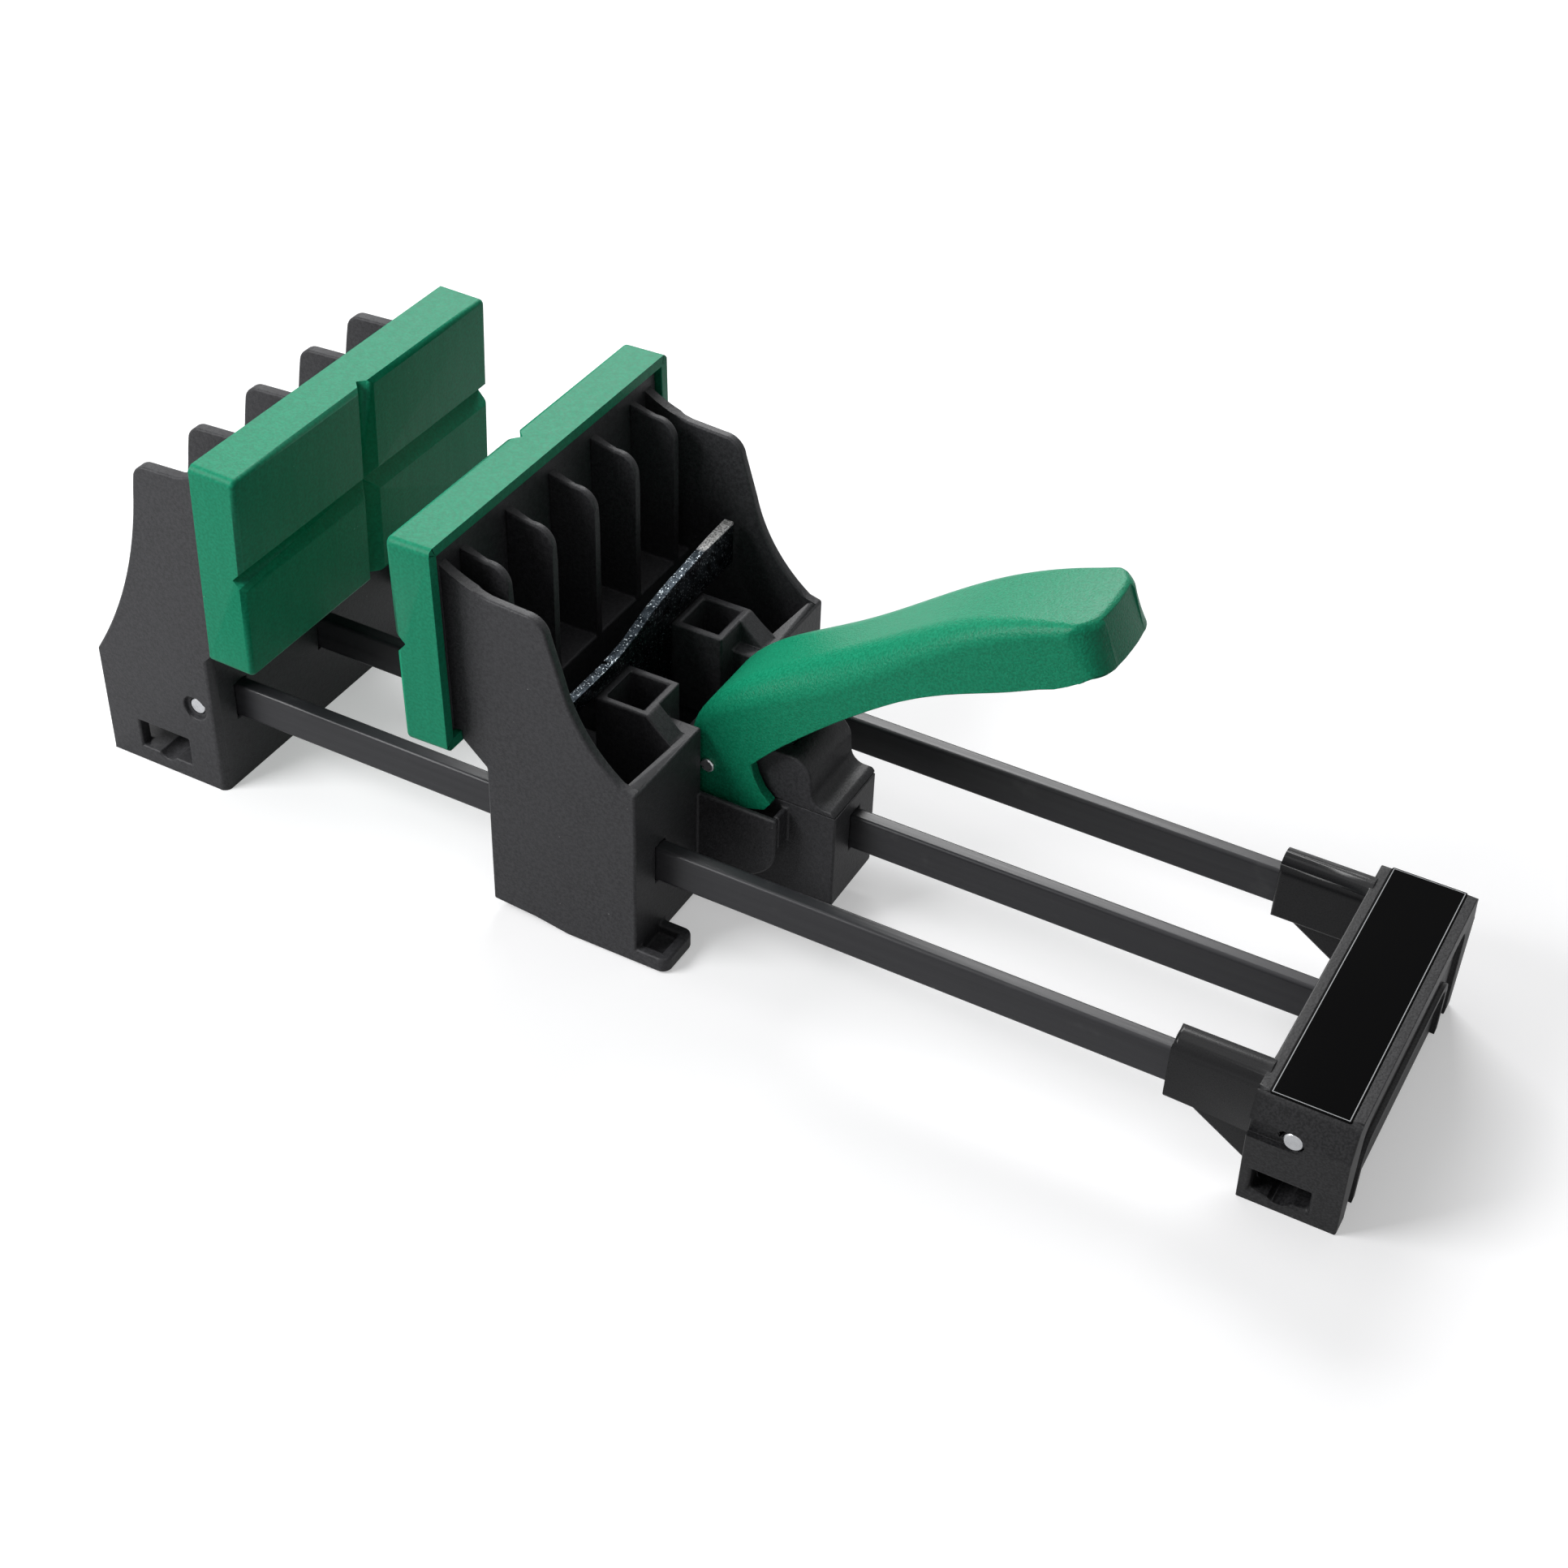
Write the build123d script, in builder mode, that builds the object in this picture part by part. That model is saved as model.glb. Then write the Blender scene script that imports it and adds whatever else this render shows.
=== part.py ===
"""Quick-release bench vise: a pumped jaw that slides on three flat bars.

The fixed jaw and the tail block are pinned to the ends of three steel bars. The sliding jaw runs on
the bars. Pressing its handle makes two grip plates jam on the centre bar and walk the jaw forward,
and a sprung release plate lets it slide back.

X runs along the bars from the fixed jaw (-X) to the tail (+X), Y runs across, Z is up.
The origin is at the middle of the overall box, on the bench surface.
"""
import os
from math import atan2, cos, radians, sin

from build123d import *

os.makedirs("parts", exist_ok=True)

# Overall size and the jaws
overall_length = 395.0
floor_clearance = 0.4
pad_width = 120.0
pad_height = 66.0
pad_bottom = 57.4
fixed_pad_thickness = 15.0
moving_pad_thickness = 13.9
pad_face_thickness = 5.0
pad_rim = 3.2
pad_edge_radius = 1.4
pad_corner_radius = 2.2
pad_groove_width = 7.4
pad_groove_depth = 3.4
pad_slip = 0.15
jaw_plate_recess = 2.0
jaw_plate_overlap = 1.0
toe_in = 1.5
jaw_opening = 51.2
jaw_setback = 67.9

# The three bars and the pins that hold them
bar_width = 5.0
bar_height = 12.0
bar_edge_radius = 1.4
bar_groove_drop = 3.9
bar_groove_width = 1.0
bar_groove_depth = 0.4
bar_centre_height = 29.0
bar_spacing = 39.9
bar_clearance = 0.08
pin_radius = 2.8
pin_clearance = 0.05
pin_end_chamfer = 0.4
bar_pin_from_rear = 35.6
bar_pin_from_tail = 15.2
bar_start = 15.0
bar_end_gap = 7.0

# Fixed jaw casting
fixed_jaw_inset = 8.0
fixed_jaw_base_length = 43.7
fixed_jaw_wall = 4.3
fixed_jaw_rib = 4.0
fixed_jaw_rib_pitch = 26.0
fixed_jaw_front_wall = 4.0
fixed_jaw_corner_radius = 2.5
fixed_jaw_shoulder_height = 38.0
fixed_jaw_top_drop = 12.6
fixed_jaw_top_length = 15.5
fixed_jaw_top_rise = 0.8
neck_drop = 8.3
neck_setback = 24.4
neck_bow = 4.2
neck_lean = 1.5
neck_corner_radius = 5.0
jaw_undercut = 7.0
lip_height = 5.0
socket_wall = 3.0
pin_recess_radius = 4.1
pin_recess_depth = 1.3
side_slot_length = 18.7
side_slot_height = 9.7
side_slot_from_rear = 21.5
side_slot_centre_height = 10.2
slot_floor_reach = 12.5
fixed_jaw_floor_margin = 7.0
slot_notch_radius = 3.8
slot_notch_depth = 1.6

# Tail block
tail_length = 27.2
tail_height = 40.2
tail_base_width = 97.4
tail_waist_width = 105.0
tail_waist_height = 30.0
tail_top_width = 99.0
tail_corner_radius = 3.0
tail_shell = 3.6
tail_ceiling_wall = 5.4
tail_slot_length = 15.7
tail_slot_height = 7.8
tail_slot_from_tail = 16.1
tail_slot_centre_height = 8.7
tail_floor_margin = 1.5
tail_pin_slot_height = 6.2
tail_pin_slot_depth = 2.5
tail_pin_recess = 1.0
sleeve_length = 24.6
sleeve_side_wall = 2.7
sleeve_floor = 2.6
sleeve_roof = 5.8
gusset_thickness = 3.0
gusset_setback = 4.0
gusset_drop = 2.0
gusset_foot_height = 6.0
gusset_foot_length = 2.0
end_panel_depth = 1.4
end_panel_rim = 5.6
end_panel_radius = 6.0
end_arch_inset = 6.5
end_arch_top = 21.8
end_arch_thickness = 2.4
end_arch_radius = 7.0
label_length = 98.0
label_width = 21.4
label_thickness = 0.5
label_seat_depth = 0.3
label_margin = 0.1
label_corner_radius = 0.6

# Sliding jaw body
carriage_length = 47.9
carriage_setback = 8.8
carriage_inset = 6.5
carriage_wall = 3.2
carriage_front_wall = 3.8
carriage_rear_wall = 3.7
carriage_front_lift = 3.2
carriage_ramp_start = 14.0
carriage_ramp_end = 25.0
carriage_rear_top = 61.0
carriage_shelf_thickness = 4.2
carriage_rib = 2.6
carriage_rib_pitch = 21.5
carriage_rib_drop = 10.0
carriage_rib_radius = 6.0
carriage_rib_crest = 3.5
wall_top_drop = 14.8
wall_top_rise = 0.7
wall_top_start = 3.4
wall_shoulder_start = 14.5
wall_shoulder_middle = 19.0
wall_shoulder_end = 21.4
wall_shoulder_drop = 5.6
wall_slope_end = 25.4
wall_slope_middle = 31.5
wall_slope_start = 44.0
wall_slope_rise = 29.0
tunnel_roof = 6.0
tunnel_floor = 3.0
tunnel_side_wall = 3.2
web_thickness = 3.0
boss_top = 68.4
boss_hole_length = 12.0
boss_hole_width = 13.0
boss_hole_floor = 4.0
boss_wall = 2.5
boss_offset = 20.5
boss_from_front = 28.8
spine_inner = 12.7
spine_thickness = 2.5
foot_length = 10.0
foot_width = 15.5
foot_height = 5.0
foot_floor = 2.0
foot_corner_radius = 3.0
handle_gap = 1.2
return_wall = 4.9
cheek_thickness = 2.0
cheek_drop = 2.0
cheek_bottom = 15.0
cheek_end = 73.0
cheek_corner_radius = 12.0

# Drive housing, its cover and what works inside
housing_gap = 0.8
housing_end = 88.0
housing_bottom = 8.0
housing_top = 40.6
housing_rear_wall = 5.6
lug_rise = 6.0
lug_length = 7.6
lug_radius = 5.0
pivot_from_front = 49.4
pivot_height = 47.6
pivot_radius = 2.2
pivot_overhang = 0.95
clip_thickness = 0.8
clip_radius = 3.7
clip_mouth = 3.4
clip_gap = 0.05
cover_front = 58.0
cover_crest = 57.4
cover_front_chamfer = 4.0
cover_wall = 2.4
cover_slot_half_width = 7.0
cover_slot_end = 72.0
cover_hollow_end = 75.2
hump_rear = 79.3
hump_lean = 1.1
hump_top_radius = 7.0
hump_foot_radius = 4.5
hump_foot_rise = 1.8
hump_ledge = 1.6
plate_thickness = 2.6
plate_gap = 0.4
plate_half_width = 9.0
plate_corner_radius = 2.0
plate_bottom = 17.0
plate_top = 52.4
plate_start = 65.7
plate_side_clearance = 0.5
plate_slot_clearance = 0.3
spring_wire = 1.3
spring_wire_sides = 6
spring_coil_radius = 8.4
spring_end_gap = 0.2
drive_spring_turns = 3
release_spring_turns = 3

# Release plate and the groove that its foot stands in
release_plate_thickness = 3.0
release_plate_from_front = 18.4
release_wing_gap = 4.3
release_wing_lift = 1.2
release_plate_top = 83.8
release_plate_drop = 9.0
release_plate_shoulder = 5.0
release_plate_bulge = 2.0
release_stem_gap = 1.0
release_plate_bottom = 14.0
release_slot_clearance = 0.45
release_seat_gap = 0.3
release_seat_wall = 2.6
release_seat_length = 8.0

# Handle: at each station, how far forward of the pin, how far above it, and the radius of the top corners
handle_stations = [(-5.2, 14.4, 6.0), (0.5, 22.6, 7.0), (9.8, 31.1, 8.5), (24.8, 41.2, 10.0), (57.4, 62.7, 9.0),
                   (81.0, 75.8, 6.0), (100.0, 82.3, 3.6), (120.0, 83.6, 3.2)]
handle_under = [(118.0, 67.2), (100.6, 65.9), (88.2, 60.0), (73.5, 53.5), (60.0, 46.4), (47.3, 37.2), (31.7, 23.8),
                (22.3, 14.8), (13.6, 5.2)]
handle_hook = [(13.6, 5.2), (14.7, 1.3), (16.9, -3.0), (20.1, -6.1), (18.1, -9.0), (12.4, -10.9), (1.8, -12.2),
               (-4.8, -12.2)]
handle_half_width = 16.5
handle_wall = 3.3
handle_skin = 3.0
handle_corner_drop = 2.5
handle_corner_width = 3.5
handle_end_wall = 4.6
handle_foot = 20.0
handle_crown = 95.0
handle_tip = 108.6
handle_tip_rise = 83.0
handle_tip_draft = 7.0
handle_tip_bow = 1.8
handle_tip_corner = 8.5
handle_mouth_rise = 7.5
cam_radius = 3.0
cam_half_width = 6.0
cam_web = 3.0
cam_forward = 12.8
cam_rise = 10.4
cam_root = 31.5

# Places that follow from those sizes
rear_x = -overall_length / 2
tail_x = overall_length / 2
fixed_jaw_front = rear_x + fixed_jaw_base_length
pad_middle = pad_bottom + pad_height / 2
pad_top = pad_bottom + pad_height
fixed_face_x = rear_x + jaw_setback
moving_face_x = fixed_face_x + jaw_opening
carriage_front = moving_face_x + moving_pad_thickness + carriage_setback
carriage_rear = carriage_front + carriage_length
tilt = radians(toe_in)
jaw_plate_thickness = fixed_pad_thickness - pad_face_thickness - jaw_plate_recess
moving_plate_thickness = moving_pad_thickness - pad_face_thickness - jaw_plate_recess
jaw_plate_width = pad_width - 2 * (pad_rim + pad_slip)
jaw_plate_height = pad_height - 2 * (pad_rim + pad_slip)
bar_centres = [-bar_spacing, 0.0, bar_spacing]
bar_bottom = bar_centre_height - bar_height / 2
bar_top = bar_centre_height + bar_height / 2
front_pin_x = rear_x + bar_pin_from_rear
tail_pin_x = tail_x - bar_pin_from_tail
tail_front = tail_x - tail_length
fixed_jaw_width = pad_width - 2 * fixed_jaw_inset
fixed_jaw_top = pad_top - fixed_jaw_top_drop
carriage_width = pad_width - 2 * carriage_inset
wall_top = pad_top - wall_top_drop
web_height = bar_top + tunnel_roof
boss_rear_distance = boss_from_front + boss_hole_length / 2 + boss_wall
throat_half_width = handle_half_width + handle_gap
housing_half_width = handle_half_width - handle_wall - housing_gap
pivot_x = carriage_front + pivot_from_front
pivot_length = 2 * (handle_half_width + pivot_overhang)
release_x = carriage_front + release_plate_from_front
release_pivot_x = release_x + release_plate_thickness / 2
release_pivot_z = release_plate_bottom + release_plate_thickness / 2


def across(y):
    """Sketch plane along the vise, standing at the given distance across it."""
    return Plane(origin=(0, y, 0), x_dir=(1, 0, 0), z_dir=(0, -1, 0))


def facing_tail(x):
    """Sketch plane across the vise that looks towards the tail, at the given place along it."""
    return Plane(origin=(x, 0, 0), x_dir=(0, 1, 0), z_dir=(1, 0, 0))


def block(x_range, y_range, z_range, mode=Mode.ADD):
    """Box between two corners, given as a range along each axis."""
    ranges = (x_range, y_range, z_range)
    centre = tuple((low + high) / 2 for low, high in ranges)
    with Locations(centre):
        return Box(*(high - low for low, high in ranges), mode=mode)


def both_sides(inner, outer):
    """The same range across the vise, on the near side and on the far side."""
    return [(-outer, -inner), (inner, outer)]


def bar_holes(x_range, centres, clearance=bar_clearance):
    """Cuts the passages of the bars through whatever stands in the given range."""
    for y in centres:
        block(x_range,
              (y - bar_width / 2 - clearance, y + bar_width / 2 + clearance),
              (bar_bottom - clearance, bar_top + clearance), mode=Mode.SUBTRACT)


def cross_hole(x, height, radius, y_range):
    """Drills a round hole across the vise."""
    with BuildSketch(across(y_range[0])) as hole:
        with Locations((x, height)):
            Circle(radius)
    extrude(hole.sketch, amount=y_range[0] - y_range[1], mode=Mode.SUBTRACT)


def side_slot(x, height, length, opening, half_width, wall, floor_margin):
    """Rectangular slot through both side walls, with a floor behind it and a half-round notch in the floor."""
    slot_bottom = height - opening / 2
    slot = (x - length / 2, x + length / 2)
    for low, high in both_sides(half_width - slot_floor_reach, half_width - wall / 2):
        block((slot[0] - floor_margin, slot[1] + floor_margin), (low, high), (0, slot_bottom))
    for low, high in both_sides(half_width - wall - 1, half_width + wall):
        block(slot, (low, high), (slot_bottom, height + opening / 2), mode=Mode.SUBTRACT)
    for low, high in both_sides(half_width - slot_floor_reach - 1, half_width + wall):
        cross_hole(x, slot_bottom + slot_notch_radius - slot_notch_depth, slot_notch_radius, (low, high))


# Seats of the two jaw pads: tilted planes at the back of each pad, facing the work
fixed_seat = Plane(
    origin=(fixed_face_x - fixed_pad_thickness * cos(tilt), 0, pad_middle + fixed_pad_thickness * sin(tilt)),
    x_dir=(0, 1, 0), z_dir=(cos(tilt), 0, -sin(tilt)))
moving_seat = Plane(
    origin=(moving_face_x + moving_pad_thickness * cos(tilt), 0, pad_middle + moving_pad_thickness * sin(tilt)),
    x_dir=(0, -1, 0), z_dir=(-cos(tilt), 0, -sin(tilt)))


def jaw_pad(seat, thickness):
    """Soft cap with a rim that wraps the jaw plate, and a V-groove each way across its face."""
    with BuildPart() as pad:
        with BuildSketch(seat):
            RectangleRounded(pad_width, pad_height, pad_corner_radius)
        extrude(amount=thickness)
        front = pad.faces().sort_by(Axis(seat.origin, seat.z_dir))[-1]
        fillet(front.edges(), pad_edge_radius)
        with BuildSketch(seat):
            Rectangle(pad_width - 2 * pad_rim, pad_height - 2 * pad_rim)
        extrude(amount=thickness - pad_face_thickness, mode=Mode.SUBTRACT)
        upright = Plane(origin=seat.origin, x_dir=seat.x_dir, z_dir=seat.y_dir)
        level = Plane(origin=seat.origin, x_dir=seat.y_dir, z_dir=seat.x_dir)
        for plane, side in ((upright, -1), (level, 1)):
            with BuildSketch(plane):
                with BuildLine():
                    Polyline((-pad_groove_width / 2, side * (thickness + 1e-3)),
                             (0, side * (thickness - pad_groove_depth)),
                             (pad_groove_width / 2, side * (thickness + 1e-3)), close=True)
                make_face()
            extrude(amount=pad_width, both=True, mode=Mode.SUBTRACT)
    return pad.part


def jaw_plate(seat, thickness):
    """Flat plate that fills the pad's pocket and carries the clamping load."""
    with BuildSketch(seat.offset(jaw_plate_recess)) as plate:
        Rectangle(jaw_plate_width, jaw_plate_height)
    extrude(plate.sketch, amount=thickness)


def behind_seat(seat, height, depth):
    """Place along the vise and height of a point near a pad's seat.

    The height is taken up the pad from its middle, and the depth into the pad from its back.
    """
    point = seat.offset(depth).from_local_coords((0, height, 0))
    return (point.X, point.Z)


plate_depth = jaw_plate_recess + jaw_plate_overlap
plate_low = 2 * pad_slip - jaw_plate_height / 2
plate_high = jaw_plate_height / 2 - pad_rim


def under_pad(seat):
    """The short way in behind the pad's lower rim, from below the pad to the jaw plate."""
    return [behind_seat(seat, 1 - pad_height / 2, -pad_slip),
            behind_seat(seat, plate_low, -pad_slip),
            behind_seat(seat, plate_low, plate_depth)]


# Fixed jaw: five upright plates tied by a front wall and the jaw plate, open at the back
def fixed_jaw_side(y):
    """Side view shared by the two walls and the three ribs: a square foot and a hooked neck above it."""
    neck_x = rear_x + neck_setback
    neck_height = fixed_jaw_top - neck_drop
    with BuildSketch(across(y)) as side:
        with BuildLine():
            Polyline(*reversed(under_pad(fixed_seat)), (fixed_jaw_front, pad_bottom - jaw_undercut),
                     (fixed_jaw_front, 0), (rear_x, 0), (rear_x, fixed_jaw_shoulder_height))
            ThreePointArc((rear_x, fixed_jaw_shoulder_height),
                          (rear_x + neck_setback / 2 + neck_bow, (fixed_jaw_shoulder_height + neck_height) / 2),
                          (neck_x, neck_height))
            Polyline((neck_x, neck_height), (neck_x + neck_lean, fixed_jaw_top),
                     (neck_x + neck_lean + fixed_jaw_top_length, fixed_jaw_top + fixed_jaw_top_rise),
                     behind_seat(fixed_seat, plate_high, plate_depth), under_pad(fixed_seat)[-1])
        make_face()
    return side.sketch


with BuildPart() as fixed_jaw:
    half = fixed_jaw_width / 2
    rib_places = [i * fixed_jaw_rib_pitch for i in (-1, 0, 1)]
    plates = [(y - fixed_jaw_rib / 2, y + fixed_jaw_rib / 2) for y in rib_places]
    plates += both_sides(half - fixed_jaw_wall, half)
    for low, high in plates:
        extrude(fixed_jaw_side(low), amount=low - high)
    soft_corners = fixed_jaw.edges().filter_by(Axis.Y).filter_by(
        lambda e: e.center().Z > fixed_jaw_top - 1 and e.center().X < rear_x + neck_setback + 2 * neck_lean)
    fillet(soft_corners, neck_corner_radius)
    inside = fixed_jaw_front - fixed_jaw_front_wall
    with BuildSketch(across(-half)):
        with BuildLine():
            Polyline((inside, 0), (fixed_jaw_front, 0), (fixed_jaw_front, pad_bottom - jaw_undercut),
                     *under_pad(fixed_seat), behind_seat(fixed_seat, plate_low + lip_height, plate_depth),
                     behind_seat(fixed_seat, plate_low + lip_height, -pad_slip),
                     (inside, pad_bottom - jaw_undercut + 1), close=True)
        make_face()
    extrude(amount=-fixed_jaw_width)
    jaw_plate(fixed_seat, jaw_plate_thickness)
    for y in bar_centres:
        block((rear_x + bar_start - socket_wall, fixed_jaw_front),
              (y - bar_width / 2 - socket_wall, y + bar_width / 2 + socket_wall),
              (bar_bottom - socket_wall, bar_top + socket_wall))
    fillet(fixed_jaw.edges().filter_by(Axis.Z).filter_by(
        lambda e: abs(abs(e.center().Y) - half) < 0.01 and abs(e.center().X - fixed_jaw_front) < 0.01),
        fixed_jaw_corner_radius)
    bar_holes((rear_x + bar_start, fixed_jaw_front + 1), bar_centres)
    cross_hole(front_pin_x, bar_centre_height, pin_radius + pin_clearance, (-half, half))
    for side in (-1, 1):
        edge = side * half
        cross_hole(front_pin_x, bar_centre_height, pin_recess_radius,
                   sorted((edge, edge - side * pin_recess_depth)))
    side_slot(rear_x + side_slot_from_rear, side_slot_centre_height, side_slot_length, side_slot_height,
              half, fixed_jaw_wall, fixed_jaw_floor_margin)
fixed_jaw.part.label = "fixed_jaw"

fixed_jaw_pad = jaw_pad(fixed_seat, fixed_pad_thickness)
fixed_jaw_pad.label = "fixed_jaw_pad"

moving_jaw_pad = jaw_pad(moving_seat, moving_pad_thickness)
moving_jaw_pad.label = "moving_jaw_pad"


# Bars: drawn steel flats on edge, with softened corners, a line rolled in each side and two cross holes
def bar(y):
    """One bar, lying at the given place across the vise."""
    with BuildPart() as flat:
        with BuildSketch(facing_tail(rear_x + bar_start)):
            with Locations((y, bar_centre_height)):
                RectangleRounded(bar_width, bar_height, bar_edge_radius)
            for edge in (-bar_width / 2, bar_width / 2):
                with Locations((y + edge, bar_top - bar_groove_drop)):
                    Rectangle(2 * bar_groove_depth, bar_groove_width, mode=Mode.SUBTRACT)
        extrude(amount=overall_length - bar_start - bar_end_gap)
        for x in (front_pin_x, tail_pin_x):
            cross_hole(x, bar_centre_height, pin_radius + pin_clearance, (y - bar_width, y + bar_width))
    return flat.part


guide_bar_right = bar(-bar_spacing)
guide_bar_right.label = "guide_bar_right"
drive_bar = bar(0.0)
drive_bar.label = "drive_bar"
guide_bar_left = bar(bar_spacing)
guide_bar_left.label = "guide_bar_left"


# Cross pins: one through each end casting and all three bars
def cross_pin(x, height, radius, length):
    """Round pin across the vise with a small chamfer at each end."""
    with BuildPart() as pin:
        with BuildSketch(across(-length / 2)):
            with Locations((x, height)):
                Circle(radius)
        extrude(amount=-length)
        chamfer(pin.edges().filter_by(GeomType.CIRCLE), pin_end_chamfer)
    return pin.part


front_cross_pin = cross_pin(front_pin_x, bar_centre_height, pin_radius, fixed_jaw_width - 2 * pin_recess_depth)
front_cross_pin.label = "front_cross_pin"
tail_cross_pin = cross_pin(tail_pin_x, bar_centre_height, pin_radius, tail_waist_width - 2 * tail_pin_recess)
tail_cross_pin.label = "tail_cross_pin"


# Tail block: a drafted hollow block with sleeves that reach forward round the guide bars
with BuildPart() as tail_block:
    sleeve_bottom = bar_bottom - sleeve_floor
    sleeve_top = bar_top + sleeve_roof
    sleeve_half_width = bar_width / 2 + sleeve_side_wall
    with BuildSketch(facing_tail(tail_front)):
        with BuildLine():
            Polyline((-tail_base_width / 2, 0), (tail_base_width / 2, 0),
                     (tail_waist_width / 2, tail_waist_height), (tail_top_width / 2, tail_height),
                     (-tail_top_width / 2, tail_height), (-tail_waist_width / 2, tail_waist_height), close=True)
        make_face()
        fillet([v for v in vertices() if v.Y > tail_waist_height - 1], tail_corner_radius)
    extrude(amount=tail_length)
    for y in (-bar_spacing, bar_spacing):
        with BuildSketch(facing_tail(tail_front - sleeve_length)):
            with Locations((y, (sleeve_bottom + sleeve_top) / 2)):
                Rectangle(2 * sleeve_half_width, sleeve_top - sleeve_bottom)
            fillet([v for v in vertices() if v.Y > sleeve_top - 1], sleeve_half_width - 0.1)
        extrude(amount=sleeve_length + 1)
        gusset_start = tail_front - sleeve_length + gusset_setback
        with BuildSketch(across(y - gusset_thickness / 2)):
            with BuildLine():
                Polyline((gusset_start, sleeve_bottom + 1), (tail_front + 1, sleeve_bottom + 1),
                         (tail_front + 1, gusset_foot_height),
                         (tail_front - gusset_foot_length, gusset_foot_height),
                         (gusset_start, sleeve_bottom - gusset_drop), close=True)
            make_face()
        extrude(amount=-gusset_thickness)
    hollow_half_width = tail_base_width / 2 - tail_shell
    block((tail_front + tail_shell, tail_x - tail_shell), (-hollow_half_width, hollow_half_width),
          (-1, bar_bottom - tail_ceiling_wall), mode=Mode.SUBTRACT)
    bar_holes((tail_front - sleeve_length - 1, tail_x - bar_end_gap), bar_centres)
    cross_hole(tail_pin_x, bar_centre_height, pin_radius + pin_clearance,
               (-tail_waist_width, tail_waist_width))
    for wall in both_sides(tail_waist_width / 2 - tail_pin_slot_depth, tail_waist_width / 2 + 1):
        block((tail_front - 1, tail_pin_x), wall,
              (bar_centre_height - tail_pin_slot_height / 2, bar_centre_height + tail_pin_slot_height / 2),
              mode=Mode.SUBTRACT)
        cross_hole(tail_pin_x, bar_centre_height, tail_pin_slot_height / 2, wall)
    side_slot(tail_x - tail_slot_from_tail, tail_slot_centre_height, tail_slot_length, tail_slot_height,
              tail_base_width / 2, tail_shell, tail_floor_margin)
    panel_width = tail_base_width - 2 * end_panel_rim
    panel_top = tail_height - end_panel_rim
    arch_width = panel_width - 2 * end_arch_inset
    with BuildSketch(facing_tail(tail_x)):
        for width, top, radius, mode in (
                (panel_width, panel_top, end_panel_radius, Mode.ADD),
                (arch_width, end_arch_top, end_arch_radius, Mode.SUBTRACT),
                (arch_width - 2 * end_arch_thickness, end_arch_top - end_arch_thickness,
                 end_arch_radius - end_arch_thickness, Mode.ADD)):
            with Locations((0, 0)):
                RectangleRounded(width, 2 * top, radius, mode=mode)
    extrude(amount=-end_panel_depth, mode=Mode.SUBTRACT)
    label_x = tail_front + tail_length / 2
    block((label_x - label_width / 2, label_x + label_width / 2), (-label_length / 2, label_length / 2),
          (tail_height - label_seat_depth, tail_height + 1), mode=Mode.SUBTRACT)
tail_block.part.label = "tail_block"

with BuildPart() as tail_plate:
    label_z = tail_height - label_seat_depth + label_thickness / 2
    with Locations((label_x, 0, label_z)):
        Box(label_width - 2 * label_margin, label_length - 2 * label_margin, label_thickness)
    fillet(tail_plate.edges().filter_by(Axis.Z), label_corner_radius)
tail_plate.part.label = "tail_plate"


# Sliding jaw body: an open box behind the jaw plate, with ribs, sockets and tunnels for the bars
def along(distance):
    """Place along the vise, measured back from the front face of the sliding jaw's base."""
    return carriage_front + distance


def carriage_wall_side(y):
    """Side wall: foot, ramp under the front, and the long S-curve from the jaw down to the rear wall."""
    high = behind_seat(moving_seat, plate_high - 1, plate_depth)
    slope_foot = (along(wall_slope_start), carriage_rear_top + 1)
    slope_head = (along(wall_slope_end), carriage_rear_top + wall_slope_rise)
    shoulder = (along(wall_shoulder_end), wall_top - wall_shoulder_drop)
    crest = (along(wall_top_start), wall_top + wall_top_rise)
    with BuildSketch(across(y)) as side:
        with BuildLine():
            Polyline(high, *reversed(under_pad(moving_seat)), (along(0), pad_bottom - jaw_undercut + 1),
                     (along(0), carriage_front_lift), (along(carriage_ramp_start), carriage_front_lift - 1),
                     (along(carriage_ramp_end), floor_clearance), (along(carriage_length), floor_clearance),
                     (along(carriage_length), carriage_rear_top), slope_foot)
            ThreePointArc(slope_foot, (along(wall_slope_middle), carriage_rear_top + wall_slope_rise / 2), slope_head)
            Line(slope_head, shoulder)
            ThreePointArc(shoulder, (along(wall_shoulder_middle), wall_top - wall_shoulder_drop / 4),
                          (along(wall_shoulder_start), wall_top))
            Line((along(wall_shoulder_start), wall_top), crest)
            ThreePointArc(crest, ((crest[0] + high[0]) / 2, (crest[1] + high[1]) / 2 - 1), high)
        make_face()
    return side.sketch


def carriage_rib_side(y):
    """Rib behind the jaw plate: a round shoulder and a straight drop to the shelf."""
    high = behind_seat(moving_seat, plate_high - 2, plate_depth)
    low = under_pad(moving_seat)[-1]
    top = pad_top - carriage_rib_drop
    rear = along(carriage_front_wall)
    with BuildSketch(across(y)) as side:
        with BuildLine():
            Polyline(high, (along(-carriage_rib_crest), top), (rear - carriage_rib_radius, top))
            RadiusArc((rear - carriage_rib_radius, top), (rear, top - carriage_rib_radius), carriage_rib_radius)
            Polyline((rear, top - carriage_rib_radius), (rear, low[1]), low, high)
        make_face()
    return side.sketch


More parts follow.
